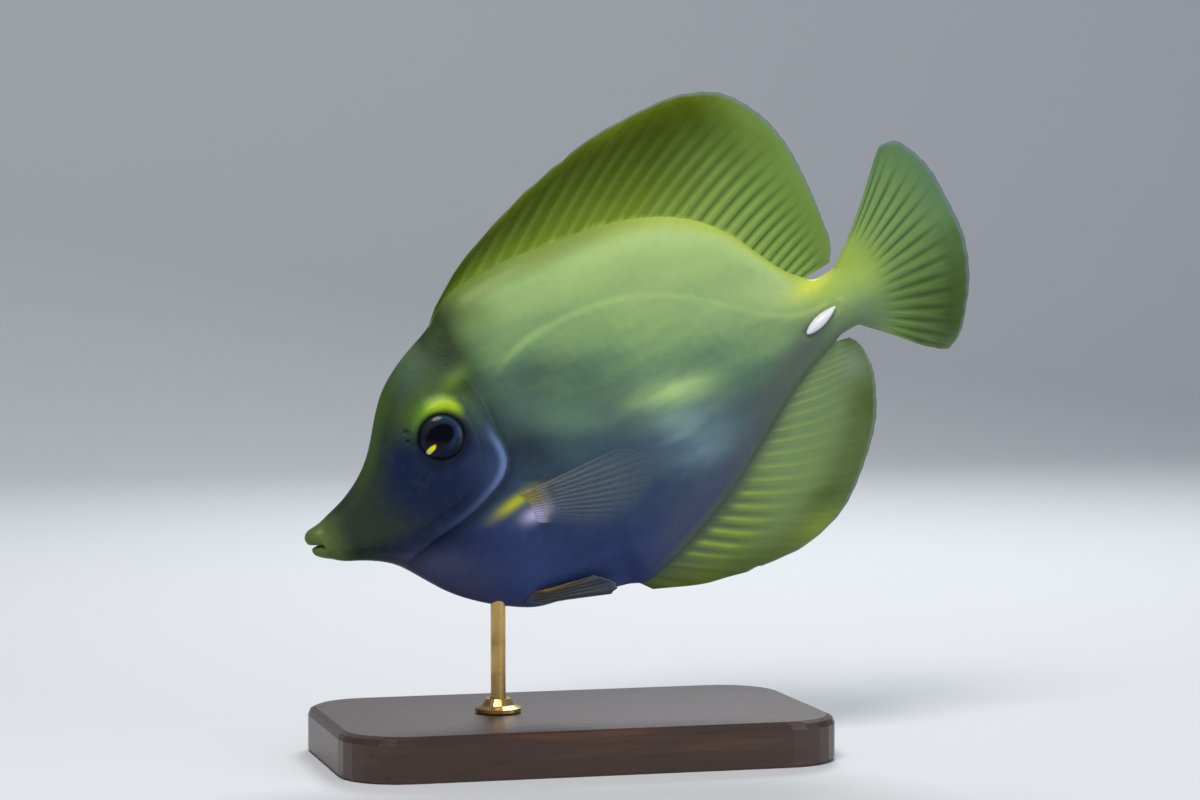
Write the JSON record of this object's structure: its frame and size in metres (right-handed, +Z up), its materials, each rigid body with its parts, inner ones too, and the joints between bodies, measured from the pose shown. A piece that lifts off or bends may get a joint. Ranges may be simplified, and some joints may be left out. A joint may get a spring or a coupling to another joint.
{
  "type": "yellow tang model",
  "caption": "Life-size museum model of a yellow tang tipped nose down as it swims, held by a rod in its breast on a flat wooden base.",
  "frame": {"origin": "on the floor, under the middle of the bounding box", "axes": "+Z up, -X the way the lips point, -Y the side of the fish that the picture shows, which is its left"},
  "size_m": [0.1387, 0.056, 0.1328],
  "materials": {
    "skin": "wet fish skin, yellow-green above and slate blue below",
    "fin": "thin olive-yellow membrane over raised rays",
    "eye": "dark glossy eye with a gold fleck in the iris",
    "lancet": "smooth white bone",
    "wood": "dark oiled wood",
    "brass": "satin brass"
  },
  "bodies": {
    "root": {"head": "skin", "trunk": "skin", "tail_stalk": "skin", "dorsal_fin": "fin", "anal_fin": "fin", "tail_fin": "fin", "pectoral_fin_left": "fin", "pectoral_fin_right": "fin", "pelvic_fin_left": "fin", "pelvic_fin_right": "fin", "eye_left": "eye", "eye_right": "eye", "lancet_left": "lancet", "lancet_right": "lancet", "stand_base": "wood", "stand_rod": "brass", "stand_collar": "brass"}
  },
  "joints": []
}
